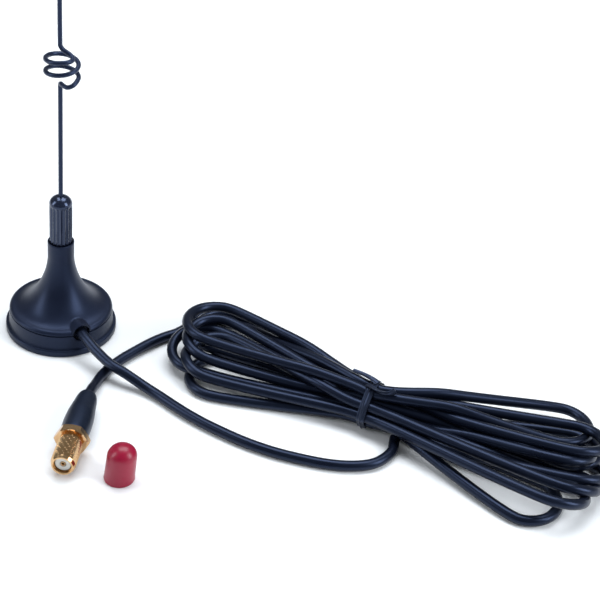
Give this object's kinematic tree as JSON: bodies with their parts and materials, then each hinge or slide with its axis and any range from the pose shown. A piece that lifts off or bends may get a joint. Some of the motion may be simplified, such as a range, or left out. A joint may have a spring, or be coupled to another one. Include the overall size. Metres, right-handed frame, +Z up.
{
  "type": "magnetic mount cellular antenna",
  "caption": "Magnetic base with a screw-in whip and phasing coil, a coaxial lead folded into a tied hank, a threaded coaxial jack and its push-on dust cap.",
  "frame": {"origin": "middle of the base's underside, on the surface it stands on", "axes": "+Z up along the whip; -Y towards the side the jack's mouth points to; +X along the lead's hank"},
  "size_m": [0.1625, 0.0792, 0.245],
  "materials": {
    "pad_vinyl": "matt vinyl film",
    "magnet": "plated magnet, dull grey",
    "bare_steel": "zinc plated, satin",
    "fibre": "vulcanised fibre",
    "rim_plastic": "moulded, fine satin",
    "cover_plastic": "moulded, satin with soft sheen",
    "brass": "turned",
    "tinned": "tinned, soft shine",
    "black_plate": "black plated, glossy",
    "coated_wire": "black coated spring steel",
    "rubber": "moulded rubber, matt",
    "jacket": "extruded PVC jacket, satin",
    "natural_plastic": "natural white fluoropolymer",
    "copper": "bare copper",
    "tie_plastic": "plastic ribbon over wire, satin",
    "gold_plate": "gold plated, bright",
    "heat_shrink": "shrunk sleeve, satin",
    "cap_vinyl": "dipped vinyl, satin crimson"
  },
  "bodies": {
    "base": {"foot_pad": "pad_vinyl", "magnet": "magnet", "steel_pot": "bare_steel", "insulator_disc": "fibre", "base_ring": "rim_plastic", "base_cover": "cover_plastic", "threaded_insert": "brass", "solder_tag": "tinned", "lead_grommet": "rubber", "lead_inner": "jacket", "lead_dielectric": "natural_plastic", "centre_conductor": "copper", "ground_lug": "tinned", "lug_rivet": "tinned", "braid_pigtail": "tinned", "lead_from_base": "jacket", "lead_to_jack": "jacket", "lead_hank": "jacket", "twist_tie": "tie_plastic", "jack_body": "gold_plate", "jack_insulator": "natural_plastic", "jack_contact": "gold_plate", "crimp_sleeve": "gold_plate", "jack_boot": "heat_shrink", "lead_in_boot": "jacket"},
    "washer": {"lock_washer": "bare_steel"},
    "whip": {"whip_ferrule": "black_plate", "whip_stud": "brass", "whip_wire": "coated_wire", "whip_tip": "rubber"},
    "cap": {"dust_cap": "cap_vinyl"}
  },
  "joints": [
    {"name": "whip_lift", "type": "slide", "parent": "base", "child": "washer", "axis": [0, 0, 1], "range_m": [0, 0.004]},
    {"name": "whip_turn", "type": "hinge", "parent": "washer", "child": "whip", "pos_m": [0, 0, 0.024], "axis": [0, 0, 1], "range_deg": [0, 2882]},
    {"name": "cap_lift", "type": "slide", "parent": "base", "child": "cap", "axis": [0, 0, 1], "range_m": [0, 0.03]}
  ],
  "couplings": [
    {"joint": "whip_turn", "follows": "whip_lift", "rad_per_m": 12566}
  ]
}
